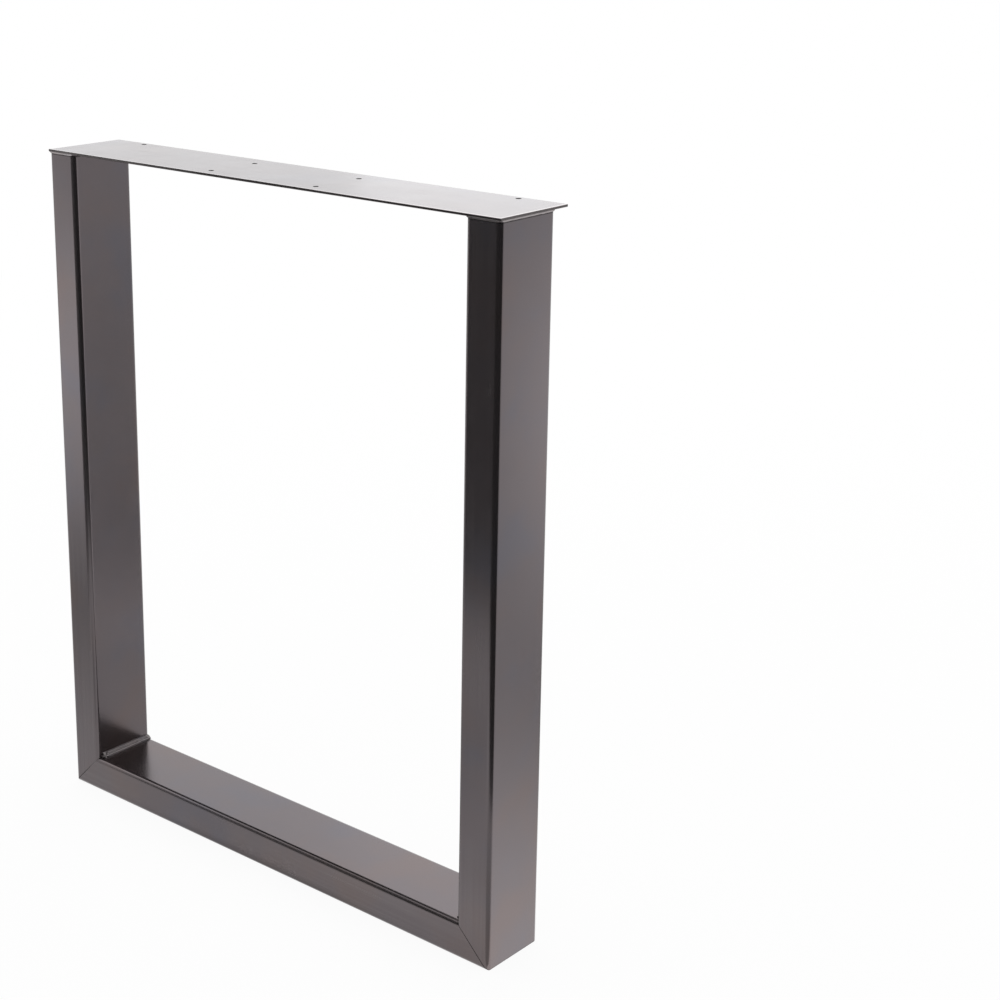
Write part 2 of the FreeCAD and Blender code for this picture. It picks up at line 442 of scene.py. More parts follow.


# %% [markdown]
# The uprights and the rail are the same tube, lying in two directions, so each has a material
# whose lines run along it. The flats of the section end where its rounds begin, 5 mm from the
# edge. Both numbers come from the tube's own size in the CAD model. Just below the bead under the
# plate, a painted shadow draws a thin dark line on the uprights.

# %% Paint on the tubes
TUBE_FACE = 0.0381
TUBE_DEPTH = 0.0762
TUBE_ROUND = 0.0050
HALF_FLAT_ACROSS = TUBE_FACE / 2 - TUBE_ROUND
HALF_FLAT_THROUGH = TUBE_DEPTH / 2 - TUBE_ROUND
left_low, left_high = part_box("left_upright")
UPRIGHT_MIDDLE_X = abs(left_low.x + left_high.x) / 2
PLATE_WELD_LEG = 0.0016
TOE_SHADOW_WIDTH = 0.0012
TUBE_LOOK = {
    "patch_scale": 11.0, "tone_amount": 0.08, "broad_scale": 420.0, "fine_scale": 1500.0,
    "line_face": (0.0, 1.0, 0.0), "peel_scale": 1100.0, "line_tint": 0.24,
    "line_roughness": 0.05, "dust": 0.03, "scratch": 0.08, "roughness": 0.225,
    "metallic": 0.96, "line_bump": 0.22, "skin_bump": 0.05,
}


def section(tree, place, across):
    """Where a point lies on the tube's section, and how far the flats of the section reach."""
    return {
        "Across": across,
        "Through": coordinate(tree, place, "Y"),
        "Half Flat Across": HALF_FLAT_ACROSS,
        "Half Flat Through": HALF_FLAT_THROUGH,
    }


def upright_section(tree, place):
    """Where a point lies on the section of the nearer upright."""
    from_middle = calculate(tree, "ABSOLUTE", coordinate(tree, place, "X"))
    return section(tree, place, calculate(tree, "SUBTRACT", from_middle, UPRIGHT_MIDDLE_X))


def rail_section(tree, place):
    """Where a point lies on the section of the rail."""
    height = coordinate(tree, place, "Z")
    return section(tree, place, calculate(tree, "SUBTRACT", height, TUBE_FACE / 2))


def uneven(tree, mask, unevenness, least, spread):
    """Weakens a mask here and there, to no less than its least strength."""
    strength = calculate(tree, "MULTIPLY_ADD", unevenness, spread, least)
    return calculate(tree, "MULTIPLY", mask, strength)


def painted_toe_shadow(tree, place, unevenness):
    """Paints a shadow: marks the first millimetre of an upright below its bead under the plate."""
    below = calculate(tree, "SUBTRACT", left_high.z - PLATE_WELD_LEG, coordinate(tree, place, "Z"))
    line = smooth_step(tree, below, TOE_SHADOW_WIDTH, TOE_SHADOW_WIDTH / 2)
    return uneven(tree, line, unevenness, least=0.45, spread=0.5)


# The upright paint gets a painted shadow line just below the bead under the plate.
upright_paint = painted_steel(
    "upright_paint", (1.0, 1.0, 0.006), TUBE_LOOK, upright_section, dark_places=painted_toe_shadow
)
rail_paint = painted_steel("rail_paint", (0.006, 1.0, 1.0), TUBE_LOOK, rail_section)


# %% [markdown]
# The plate is rolled strip with a smooth mill face, and it is seen at a very flat angle. Its
# reflection is brighter and more even, with faint streaks along its length. Its edges are sheared
# and rough, and painted shade darkens them nearly to black, as it does the walls of the drilled
# holes. The last two millimetres of the top, at the front and the ends, get the opposite: a
# painted highlight.

# %% Paint on the plate
plate_low, plate_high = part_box("top_plate")
PLATE_LOOK = {
    "patch_scale": 9.0, "tone_amount": 0.03, "broad_scale": 260.0, "fine_scale": 1200.0,
    "line_face": (0.0, 0.0, 1.0), "peel_scale": 900.0, "line_tint": 0.02,
    "line_roughness": 0.015, "dust": 0.02, "scratch": 0.10, "roughness": 0.20,
    "metallic": 0.96, "line_bump": 0.05, "skin_bump": 0.05,
}
RIM_HIGHLIGHT_WIDTH = 0.0024


def painted_edge_and_hole_shade(tree, place, unevenness):
    """Paints shade on the faces of the plate that stand upright: its edges and the walls of its holes."""
    normal = add_node(tree, "ShaderNodeNewGeometry").outputs["True Normal"]
    upward = calculate(tree, "ABSOLUTE", coordinate(tree, normal, "Z"))
    upright = smooth_step(tree, upward, 0.60, 0.20)
    return uneven(tree, upright, unevenness, least=0.70, spread=0.3)


def painted_rim_highlight(tree, place, unevenness):
    """Paints a highlight on a narrow band of the plate along its front and its ends."""
    from_middle = calculate(tree, "ABSOLUTE", coordinate(tree, place, "X"))
    from_end = calculate(tree, "SUBTRACT", plate_high.x, from_middle)
    from_front = calculate(tree, "SUBTRACT", coordinate(tree, place, "Y"), plate_low.y)
    nearest = calculate(tree, "MINIMUM", from_end, from_front)
    rim = smooth_step(tree, nearest, RIM_HIGHLIGHT_WIDTH, RIM_HIGHLIGHT_WIDTH / 2)
    return uneven(tree, rim, unevenness, least=0.55, spread=0.3)


# The plate gets painted shade on its edges and hole walls, and a painted highlight along its rim.
plate_paint = painted_steel(
    "plate_paint", (0.010, 1.0, 1.0), PLATE_LOOK,
    dark_places=painted_edge_and_hole_shade, highlight_and_ground_places=painted_rim_highlight,
)


# %% [markdown]
# Weld metal is rough under its paint, so its look has stronger peel and no drawn lines to speak
# of. The seam of each mitre is filled to just below the faces and only needs this finish, while
# the beads get their ripples as real geometry further on. Painted shade darkens a bead along its
# two toes, where it meets the steel, and in the furrows between its ridges, and painted highlights
# lighten its crests. Its blunt front end gets painted pits: dark spots with painted highlights on
# their rims. What was ground off is a little lighter. Each bead carries five attributes for this:
# one runs from 0 at one toe to 1 at the other, and four mark its crests, its furrows, its front
# end and its ground places. Painted shade also darkens a seam at the outer corner, and its inner
# half was ground smoother, so the shade fades there.

# %% Paint on the welds
WELD_LOOK = {
    "patch_scale": 60.0, "tone_amount": 0.35, "broad_scale": 700.0, "fine_scale": 2200.0,
    "line_face": (1.0, 1.0, 1.0), "peel_scale": 1600.0, "line_tint": 0.05,
    "line_roughness": 0.05, "dust": 0.06, "scratch": 0.05, "roughness": 0.27,
    "metallic": 0.95, "line_bump": 0.4, "skin_bump": 0.8,
}


PIT_SCALE = 290.0
CREST_HIGHLIGHT = 0.52
PIT_RIM_HIGHLIGHT = 0.5


def bead_value(tree, name):
    """Reads one of the bead's attributes."""
    return add_node(tree, "ShaderNodeAttribute", attribute_name=name).outputs["Fac"]


def pit_noise(tree, place):
    """Fine noise for the pits in the ends of a bead."""
    return noise(tree, place, PIT_SCALE, 1.0)


def painted_bead_shade(tree, place, unevenness):
    """Paints shade on a bead's two edges, where it meets the steel, in its furrows and in its painted pits.
    """
    from_middle = calculate(tree, "SUBTRACT", bead_value(tree, "across"), 0.5)
    toe = smooth_step(tree, calculate(tree, "ABSOLUTE", from_middle), 0.42, 0.49)
    toe = uneven(tree, toe, unevenness, least=0.55, spread=0.5)
    furrow = smooth_step(tree, bead_value(tree, "furrow"), 0.35, 0.9)
    furrow = uneven(tree, furrow, unevenness, least=0.55, spread=0.6)
    pits = smooth_step(tree, pit_noise(tree, place), 0.50, 0.56)
    pits = calculate(tree, "MULTIPLY", pits, bead_value(tree, "blunt_end"))
    return calculate(tree, "MAXIMUM", calculate(tree, "MAXIMUM", toe, furrow), pits)


def bead_highlights_and_ground(tree, place, unevenness):
    """Paints highlights on the crests between furrows and on the rims of the painted pits, and lightens the
    places that were ground off.
    """
    crest = smooth_step(tree, bead_value(tree, "crest"), 0.2, 0.9)
    crest = calculate(tree, "MULTIPLY", crest, CREST_HIGHLIGHT)
    at_end = calculate(tree, "MULTIPLY", bead_value(tree, "blunt_end"), PIT_RIM_HIGHLIGHT)
    rims = smooth_step(tree, pit_noise(tree, place), 0.48, 0.42)
    rims = calculate(tree, "MULTIPLY", rims, at_end)
    ground = uneven(tree, bead_value(tree, "ground_off"), unevenness, least=0.25, spread=0.4)
    return calculate(tree, "MAXIMUM", calculate(tree, "MAXIMUM", crest, rims), ground)


def seam_shade(tree, place, unevenness):
    """Marks the outer half of a mitre's seam, and fades towards the inner corner."""
    from_middle = calculate(tree, "ABSOLUTE", coordinate(tree, place, "X"))
    from_corner = calculate(tree, "SUBTRACT", UPRIGHT_MIDDLE_X + TUBE_FACE / 2, from_middle)
    shade = smooth_step(tree, from_corner, 0.85 * TUBE_FACE, 0.40 * TUBE_FACE)
    return uneven(tree, shade, unevenness, least=0.6, spread=0.4)


# The bead paint gets painted shade at its toes, furrows and pits, and painted highlights on its crests and
# pit rims.
weld_paint = painted_steel(
    "weld_paint", (1.0, 1.0, 1.0), WELD_LOOK, dark_places=painted_bead_shade, highlight_and_ground_places=bead_highlights_and_ground
)
seam_paint = painted_steel("seam_paint", (1.0, 1.0, 1.0), WELD_LOOK, dark_places=seam_shade)


# %% Put the paint on the CAD pieces
def give_material(piece, material):
    """Leaves the piece with this one material."""
    piece.data.materials.clear()
    piece.data.materials.append(material)


for side in ("left", "right"):
    give_material(nodes[side + "_upright"], upright_paint)
    give_material(nodes[side + "_mitre_weld"], seam_paint)
give_material(nodes["bottom_rail"], rail_paint)
give_material(nodes["top_plate"], plate_paint)
print("four CAD pieces and two seams are painted")


# %% [markdown]
# ## Weld beads
#
# A bead is laid drop by drop along a corner, so its shape follows a path: a small section that
# runs along it, with a ripple for each drop and a lump where the welder paused. Modelling every
# ripple by hand would take an hour and still look stamped. Geometry Nodes make the whole bead from
# its path and a few sizes.
#
# The tree sweeps a ring of points along the path. All but three of them are the visible face,
# from the toe on one surface to the toe on the other. The last three lie just below the steel, so
# the bead closes behind. Each point then gets its real place from the path: the first surface
# lies along the cross product of the path's direction and the given upward direction.

# %% Geometry Nodes tree: a bead along a path
FACE_POINTS = 25
RING_POINTS = FACE_POINTS + 3
BEAD_INPUTS = [
    ("Geometry", "NodeSocketGeometry", None),
    ("Up", VECTOR, (0.0, 0.0, 1.0)),
    ("Leg", FLOAT, 0.005),
    ("Crown", FLOAT, 0.0006),
    ("Ridge", FLOAT, 0.0001),
    ("Bed", FLOAT, 0.0004),
    ("Step", FLOAT, 0.00018),
    ("End Round", FLOAT, 0.0),
    ("Ripple Spacing", FLOAT, 0.0013),
    ("Ripple Height", FLOAT, 0.0001),
    ("Ripple Bow", FLOAT, 0.0012),
    ("Lump Height", FLOAT, 0.0002),
    ("Wander", FLOAT, 0.06),
    ("Seed", FLOAT, 1.0),
    ("Grind X", FLOAT, 10.0),
    ("Grind Front", FLOAT, -10.0),
    ("Grind Back", FLOAT, 10.0),
    ("Material", "NodeSocketMaterial", None),
]
bead_tree, start, end = start_group(
    "Weld bead along a path", "GeometryNodeTree", BEAD_INPUTS, [("Geometry", "NodeSocketGeometry")]
)


def compute(operation, *values):
    """One arithmetic step in the tree of the bead."""
    return calculate(bead_tree, operation, *values)


def store(geometry, name, kind, value):
    """Keeps a value on every point under a name."""
    return add_node(bead_tree, "GeometryNodeStoreNamedAttribute", {
        "Geometry": geometry, "Name": name, "Value": value,
    }, data_type=kind, domain="POINT").outputs["Geometry"]


def stored(name, kind):
    """Reads such a value again."""
    node = add_node(bead_tree, "GeometryNodeInputNamedAttribute", {"Name": name}, data_type=kind)
    return node.outputs["Attribute"]


# %% The path, cut into short steps
path = add_node(bead_tree, "GeometryNodeResampleCurve", {
    "Curve": start["Geometry"], "Length": start["Step"],
}, mode="LENGTH").outputs["Curve"]
position = add_node(bead_tree, "GeometryNodeInputPosition").outputs[0]
tangent = add_node(bead_tree, "GeometryNodeInputTangent").outputs[0]
along = add_node(bead_tree, "GeometryNodeSplineParameter").outputs["Length"]
whole_length = add_node(bead_tree, "GeometryNodeCurveLength", {"Curve": path}).outputs["Length"]
outward = calculate_vector(bead_tree, "CROSS_PRODUCT", tangent, start["Up"])
outward = calculate_vector(bead_tree, "NORMALIZE", outward)
path = store(path, "root", "FLOAT_VECTOR", position)
path = store(path, "outward", "FLOAT_VECTOR", outward)
path = store(path, "along", "FLOAT", along)
print("the path carries its place, its outward direction and its length")


# %% The ring of points that is swept along it
ring = add_node(bead_tree, "GeometryNodeCurvePrimitiveCircle", {
    "Resolution": RING_POINTS, "Radius": start["Leg"],
}, mode="RADIUS").outputs["Curve"]
ring = store(ring, "ring_index", "FLOAT", add_node(bead_tree, "GeometryNodeInputIndex").outputs[0])
swept = add_node(bead_tree, "GeometryNodeCurveToMesh", {
    "Curve": path, "Profile Curve": ring, "Fill Caps": True,
}).outputs["Mesh"]
print("the ring has", RING_POINTS, "points, of which", FACE_POINTS, "are seen")


# %% [markdown]
# Now every point of the swept tube gets its real place. Across the face, an angle runs from one
# surface to the other. The straight face of a fillet weld is at the leg divided by the sum of the
# angle's sine and cosine. The crown, the ridges, the ripples and the lumps are added to it. They
# all fade out at the toes, where the bead wets the steel. Four furrows run along the face with
# ridges between them, and both are also kept as masks for the paint.

# %% The shape of the face
FURROWS = 4
MASK_PER_METRE = 3300.0
ring_index = stored("ring_index", "FLOAT")
root = stored("root", "FLOAT_VECTOR")
outward = stored("outward", "FLOAT_VECTOR")
along = stored("along", "FLOAT")
across = compute("MINIMUM", compute("DIVIDE", ring_index, FACE_POINTS - 1.0), 1.0)
angle = compute("MULTIPLY", across, math.pi / 2)
cosine = compute("COSINE", angle)
sine = compute("SINE", angle)
straight_face = compute("DIVIDE", start["Leg"], compute("ADD", cosine, sine))
middle = compute("MAXIMUM", compute("SINE", compute("MULTIPLY", angle, 2.0)), 0.0)
crown = compute("MULTIPLY", middle, start["Crown"])
ridge_wave = compute("COSINE", compute("MULTIPLY", angle, 4.0 * FURROWS))
ridge = compute("MULTIPLY", ridge_wave, start["Ridge"])
crest = compute("MULTIPLY", ridge, MASK_PER_METRE)
furrow = compute("MULTIPLY", ridge, -MASK_PER_METRE)
ridge = compute("MULTIPLY", ridge, middle)
print("a face of", FACE_POINTS - 1, "strips runs from toe to toe")


# %% [markdown]
# The welder's pace is uneven, so the ripples lie closer in some places, and they bow forwards in
# the middle of the bead. Lumps cover the whole bead. They are larger at an open end at the front,
# where the paint also has painted pits. The toes wander to and fro along the path.

# %% Ripples, lumps and the wandering toes
PACE_SCALE = 180.0
PACE_SWING = 2.5
LUMP_SCALE = 320.0
WANDER_SCALE = 130.0
BLUNT_LENGTH = 0.0090
BLUNTEST_LENGTH = 0.0040
END_LUMPS = 1.6
seed_offset = add_node(bead_tree, "ShaderNodeCombineXYZ", {
    "X": start["Seed"], "Y": start["Seed"], "Z": start["Seed"],
}).outputs[0]
noise_place = calculate_vector(bead_tree, "ADD", position, seed_offset)
root_place = calculate_vector(bead_tree, "ADD", root, seed_offset)
pace_noise = noise(bead_tree, root_place, PACE_SCALE, 2.0)
bow = compute("MULTIPLY", middle, start["Ripple Bow"])
ripple_phase = compute("DIVIDE", compute("ADD", along, bow), start["Ripple Spacing"])
ripple_phase = compute("MULTIPLY_ADD", pace_noise, PACE_SWING, ripple_phase)
ripple = compute("ABSOLUTE", compute("SINE", compute("MULTIPLY", ripple_phase, math.pi)))
ripple = compute("MULTIPLY", ripple, start["Ripple Height"])
ripple = compute("MULTIPLY", ripple, middle)
to_end = compute("MINIMUM", along, compute("SUBTRACT", whole_length, along))
near_end = smooth_step(bead_tree, to_end, BLUNT_LENGTH, BLUNTEST_LENGTH)
at_front = smooth_step(bead_tree, coordinate(bead_tree, root, "Y"), 0.0, -0.001)
near_end = compute("MULTIPLY", near_end, at_front)
end_round_mm = compute("MULTIPLY", start["End Round"], 1000.0)
blunt_end = compute("MULTIPLY", near_end, compute("MINIMUM", end_round_mm, 1.0))
lump = compute("SUBTRACT", noise(bead_tree, noise_place, LUMP_SCALE, 3.0, 0.6), NOISE_MIDDLE)
lump = compute("MULTIPLY", lump, start["Lump Height"])
lump = compute("MULTIPLY", lump, compute("MULTIPLY_ADD", near_end, END_LUMPS, 1.0))
lump = compute("MULTIPLY", lump, middle)
wander = compute("SUBTRACT", noise(bead_tree, root_place, WANDER_SCALE, 2.0), NOISE_MIDDLE)
wander = compute("MULTIPLY_ADD", wander, start["Wander"], 1.0)
print("ripples and lumps are in the tree")


# %% [markdown]
# At an open end the bead is rounded off, because the last drop has nothing beside it. The distance
# to the nearer end, as a share of the end's radius, gives a quarter circle. A closed path has no
# end, so its radius is zero there and the share is always one. Two tiny lengths keep the share
# from being zero divided by zero.

# %% Rounded ends
TINY_LENGTH = 1e-6
TINIER_LENGTH = 1e-9
to_end = compute("ADD", to_end, TINY_LENGTH)
share = compute("DIVIDE", to_end, compute("ADD", start["End Round"], TINIER_LENGTH))
short_of_end = compute("SUBTRACT", 1.0, compute("MINIMUM", share, 1.0))
short_squared = compute("MULTIPLY", short_of_end, short_of_end)
end_scale = compute("SQRT", compute("SUBTRACT", 1.0, short_squared))
scale = compute("MULTIPLY", end_scale, wander)
print("the ends are rounded")


# %% The place of every point
BACK_SHARE = 0.6
INDEX_TOLERANCE = 0.1


def switch(on, off_value, on_value):
    """One value where the mask is off, and another where it is on."""
    return add_node(bead_tree, "ShaderNodeMix", {0: on, 2: off_value, 3: on_value}).outputs[0]


reach = straight_face
for part in (crown, ridge, ripple, lump):
    reach = compute("ADD", reach, part)
reach = compute("MULTIPLY", reach, scale)
out_place = compute("MULTIPLY", reach, cosine)
up_place = compute("MULTIPLY", reach, sine)
sunk = compute("MULTIPLY", start["Bed"], -1.0)
back_reach = compute("MULTIPLY", start["Leg"], compute("MULTIPLY", scale, BACK_SHARE))
hidden_places = [(sunk, back_reach), (sunk, sunk), (back_reach, sunk)]
for number, (hidden_out, hidden_up) in enumerate(hidden_places):
    hidden = compute("COMPARE", ring_index, FACE_POINTS + float(number), INDEX_TOLERANCE)
    out_place = switch(hidden, out_place, hidden_out)
    up_place = switch(hidden, up_place, hidden_up)
place = calculate_vector(bead_tree, "ADD", root, scaled(bead_tree, outward, out_place))
place = calculate_vector(bead_tree, "ADD", place, scaled(bead_tree, start["Up"], up_place))
print("every point has its place")


# %% [markdown]
# Under the plate the bead was ground flush with the plate's edges, so that the leg stands flat
# against the table's skirt. Points that would stand out past an edge are moved back to it. The
# ring runs the other way round than a sweep expects, so its faces look inwards and are flipped.
# The bead is then shaded smooth, made real and given its material.

# %% Grinding, and the end of the tree
FULLY_GROUND = 0.0001
axes = add_node(bead_tree, "ShaderNodeSeparateXYZ", {"Vector": place}).outputs
ground_x = compute("MAXIMUM", axes["X"], compute("MULTIPLY", start["Grind X"], -1.0))
ground_x = compute("MINIMUM", ground_x, start["Grind X"])
ground_y = compute("MAXIMUM", axes["Y"], start["Grind Front"])
ground_y = compute("MINIMUM", ground_y, start["Grind Back"])
ground = add_node(bead_tree, "ShaderNodeCombineXYZ", {
    "X": ground_x, "Y": ground_y, "Z": axes["Z"],
}).outputs[0]
ground_away = calculate_vector(bead_tree, "LENGTH", calculate_vector(bead_tree, "SUBTRACT", place, ground))
ground_off = smooth_step(bead_tree, ground_away, 0.0, FULLY_GROUND)
shaped = add_node(bead_tree, "GeometryNodeSetPosition", {
    "Geometry": swept, "Position": ground,
}).outputs["Geometry"]
marks = {
    "across": across, "crest": crest, "furrow": furrow, "blunt_end": blunt_end, "ground_off": ground_off,
}
for mark, value in marks.items():
    shaped = store(shaped, mark, "FLOAT", value)
outside_out = add_node(bead_tree, "GeometryNodeFlipFaces", {"Mesh": shaped}).outputs[0]
smooth = add_node(bead_tree, "GeometryNodeSetShadeSmooth", {"Geometry": outside_out}).outputs[0]
real = add_node(bead_tree, "GeometryNodeRealizeInstances", {"Geometry": smooth}).outputs[0]
finished = add_node(bead_tree, "GeometryNodeSetMaterial", {
    "Geometry": real, "Material": start["Material"],
}).outputs[0]
end_group(bead_tree, end, {"Geometry": finished})


# %% A function that lays one bead
def lay_bead(name, points, closed, sizes):
    """Runs the tree along a path of points, and keeps the result as a plain mesh."""
    curve_data = bpy.data.curves.new(name + "_path", "CURVE")
    curve_data.dimensions = "3D"
    spline = curve_data.splines.new("POLY")
    spline.points.add(len(points) - 1)
    for spline_point, point in zip(spline.points, points):
        spline_point.co = (*point, 1.0)
    spline.use_cyclic_u = closed
    host = bpy.data.objects.new(name + "_path", curve_data)
    bpy.context.collection.objects.link(host)
    modifier = host.modifiers.new("bead", "NODES")
    modifier.node_group = bead_tree
    for item in bead_tree.interface.items_tree:
        if item.in_out == "INPUT" and item.name in sizes:
            modifier[item.identifier] = sizes[item.name]
    evaluated = host.evaluated_get(bpy.context.evaluated_depsgraph_get())
    mesh = bpy.data.meshes.new_from_object(evaluated)
    bpy.data.objects.remove(host)
    bead = bpy.data.objects.new(name, mesh)
    bpy.context.collection.objects.link(bead)
    for attribute in ("root", "outward", "along", "ring_index"):
        mesh.attributes.remove(mesh.attributes[attribute])
    print(name, "has", len(mesh.polygons), "faces")
    return bead


# %% [markdown]
# The bead of a bottom corner runs from front to back where the upright meets the rail. It starts
# 1 mm behind the rounds at the front, with a blunt end that gets painted pits, and it runs on over
# the rounds at the back, so the last points of its path sink with them. There it is ground off 1 mm
# short of the back of the tubes.

# %% Beads of the bottom corners
CORNER_GAP = 0.001
CORNER_FRONT_Y = -HALF_FLAT_THROUGH + CORNER_GAP
CORNER_BACK_Y = TUBE_DEPTH / 2 - CORNER_GAP
CORNER_PATH_POINTS = 60
CORNER_SEED = 3.0
CORNER_SIZES = {
    "Up": (0.0, 0.0, 1.0), "Leg": 0.0050, "Crown": 0.00060, "Ridge": 0.00032, "Bed": 0.0004,
    "Step": 0.00018, "End Round": 0.0014, "Ripple Spacing": 0.0015, "Ripple Height": 0.00006,
    "Ripple Bow": 0.0014, "Lump Height": 0.0009, "Wander": 0.14,
    "Grind Back": CORNER_BACK_Y, "Material": weld_paint,
}


def corner_path(side):
    """From front to back along the left inner corner, or from back to front along the right one."""
    points = []
    for step in range(CORNER_PATH_POINTS):
        y = CORNER_FRONT_Y + (CORNER_BACK_Y - CORNER_FRONT_Y) * step / (CORNER_PATH_POINTS - 1)
        past_flat = max(0.0, y - HALF_FLAT_THROUGH)
        drop = TUBE_ROUND - math.sqrt(TUBE_ROUND**2 - past_flat**2)
        inner_x = UPRIGHT_MIDDLE_X - TUBE_FACE / 2 + drop
        points.append((side * inner_x, y, TUBE_FACE - drop))
    return points if side < 0 else points[::-1]


beads = {}
for side_name, side in (("left", -1), ("right", 1)):
    sizes = dict(CORNER_SIZES, Seed=CORNER_SEED + side)
    name = side_name + "_corner_weld"
    beads[name] = lay_bead(name + "_bead", corner_path(side), False, sizes)


# %% [markdown]
# The bead under the plate goes right round the top of the upright. Its path is the tube's own
# outline, walked clockwise from above, with the upward direction turned down. That puts the first
# surface, the underside of the plate, on the outside all the way round.

# %% Beads under the plate
PLATE_SIZES = {
    "Up": (0.0, 0.0, -1.0), "Leg": PLATE_WELD_LEG, "Crown": 0.00018, "Ridge": 0.0, "Bed": 0.0004,
    "Step": 0.00022, "End Round": 0.0, "Ripple Spacing": 0.0012, "Ripple Height": 0.00007,
    "Ripple Bow": 0.0006, "Lump Height": 0.0003, "Wander": 0.45,
    "Grind X": plate_high.x, "Grind Front": plate_low.y, "Material": weld_paint,
}
PLATE_SEED = 7.0
ROUND_STEPS = 10


def tube_outline(side, height):
    """Points round the upright's section, clockwise seen from above."""
    points = []
    corners = [(1, 1, 90), (1, -1, 0), (-1, -1, -90), (-1, 1, -180)]
    for sign_x, sign_y, first_turn in corners:
        for step in range(ROUND_STEPS + 1):
            turn = math.radians(first_turn - 90 * step / ROUND_STEPS)
            x = sign_x * HALF_FLAT_ACROSS + TUBE_ROUND * math.cos(turn)
            y = sign_y * HALF_FLAT_THROUGH + TUBE_ROUND * math.sin(turn)
            points.append((side * UPRIGHT_MIDDLE_X + x, y, height))
    return points


for side_name, side in (("left", -1), ("right", 1)):
    sizes = dict(PLATE_SIZES, Seed=PLATE_SEED + side)
    name = side_name + "_plate_weld"
    beads[name] = lay_bead(name + "_bead", tube_outline(side, plate_low.z), True, sizes)


# %% The beads take the place of the plain solids
for node_name, bead in beads.items():
    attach(bead, "root")
    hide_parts(node_name)
print(len(beads), "beads stand for", sorted(beads))


# %% [markdown]
# ## Floor and light
#
# The leg was photographed on white. A large pale floor takes the soft shadow of the foot, and a
# white sky of strength 1 lights everything evenly, so a colour renders about as it is written. To
# the camera and to reflections the floor also glows, little near the leg, where the shadow has to
# stay, and fully where it fades into the white background.

# %% The floor
FLOOR_HALF = 40.0
GLOW_NEAR = 0.93
GLOW_FAR = 1.0
SHADOW_REACH = 0.8
WHITE_FROM = 3.0
WHITE = (1.0, 1.0, 1.0, 1.0)


def grey(brightness):
    """A neutral colour."""
    return brightness, brightness, brightness, 1.0


floor_mesh = bpy.data.meshes.new("studio_floor")
floor_corners = [(x * FLOOR_HALF, y * FLOOR_HALF, 0.0) for x, y in ((-1, -1), (1, -1), (1, 1), (-1, 1))]
floor_mesh.from_pydata(floor_corners, [], [(0, 1, 2, 3)])
floor = bpy.data.objects.new("studio_floor", floor_mesh)
bpy.context.collection.objects.link(floor)

floor_material, tree, surface = start_material("pale_floor")
paper_place = add_node(tree, "ShaderNodeTexCoord").outputs["Object"]
paper_color = blend_color(tree, noise(tree, paper_place, 3.0, 4.0), grey(0.82), grey(0.86))
paper = add_node(tree, "ShaderNodeBsdfDiffuse", {"Color": paper_color})
glow = add_node(tree, "ShaderNodeEmission", {"Color": WHITE, "Strength": 1.0})
rays = add_node(tree, "ShaderNodeLightPath").outputs
seen = calculate(tree, "MAXIMUM", rays["Is Camera Ray"], rays["Is Glossy Ray"])
seen = calculate(tree, "MAXIMUM", seen, rays["Is Transmission Ray"])
from_leg = calculate_vector(tree, "LENGTH", paper_place)
far_away = smooth_step(tree, from_leg, SHADOW_REACH, WHITE_FROM)
glow_share = calculate(tree, "MULTIPLY_ADD", far_away, GLOW_FAR - GLOW_NEAR, GLOW_NEAR)
glow_share = calculate(tree, "MULTIPLY", seen, glow_share)
both = add_node(tree, "ShaderNodeMixShader", {0: glow_share, 1: paper.outputs[0], 2: glow.outputs[0]})
tree.links.new(both.outputs[0], surface)
floor_mesh.materials.append(floor_material)
floor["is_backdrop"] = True

world = bpy.data.worlds.new("white_studio")
world.use_nodes = True
sky = world.node_tree.nodes["Background"]
sky.inputs["Color"].default_value = WHITE
sky.inputs["Strength"].default_value = 1.0
bpy.context.scene.world = world
print("the floor is", 2 * FLOOR_HALF, "m wide")


# %% [markdown]
# Smooth dark paint shows little colour of its own: what makes it readable is what it mirrors. So
# the softboxes are placed by the reflections of the photograph. Two stand behind the leg on the
# left, a wide one and a second one beside it, and they brighten the plate and the rail. Each is
# set by the brightness of its surface, and its power is that brightness times pi and its area.

# %% Softboxes
LAMP_COLOR = (0.98, 0.98, 1.0)


def softbox(name, place, aim, width, height, brightness):
    """An even lamp of the given size, turned to its aim and kept out of the picture."""
    light = bpy.data.lights.new(name, "AREA")
    light.shape = "RECTANGLE"
    light.size = width
    light.size_y = height
    light.energy = brightness * math.pi * width * height
    light.color = LAMP_COLOR
    lamp = bpy.data.objects.new(name, light)
    lamp.location = place
    lamp.rotation_euler = (Vector(aim) - Vector(place)).to_track_quat("-Z", "Y").to_euler()
    lamp.visible_camera = False
    bpy.context.collection.objects.link(lamp)
    print(name, "has", round(light.energy, 1), "W")


softbox("wide_softbox", (-2.2, 2.1, 1.5), (0.0, 0.0, 0.4), 3.4, 2.8, 0.48)
softbox("second_softbox", (-0.95, 2.45, 1.5), (0.2, 0.0, 0.4), 1.9, 2.4, 0.30)


# %% [markdown]
# A product photographer then shapes the reflections with cards and cloths that stand just outside
# the picture. Here only reflections see them: they throw no shadow and change no colour. A cloth
# is dull and hides what is behind it. A card is clear, adds light in its middle or takes some
# away, and fades towards its rim, so it leaves no hard edge on the paint. Its mesh is a disc of
# rings, and an attribute holds how near each point is to the middle.

# %% Things that only reflections see
def show_to_reflections(name, points, faces, material):
    """Makes a piece of the studio that neither the camera nor the light meets."""
    mesh = bpy.data.meshes.new(name)
    mesh.from_pydata(points, [], faces)
    mesh.materials.append(material)
    piece = bpy.data.objects.new(name, mesh)
    bpy.context.collection.objects.link(piece)
    piece.visible_camera = False
    piece.visible_diffuse = False
    piece.visible_shadow = False
    piece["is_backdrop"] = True
    return piece


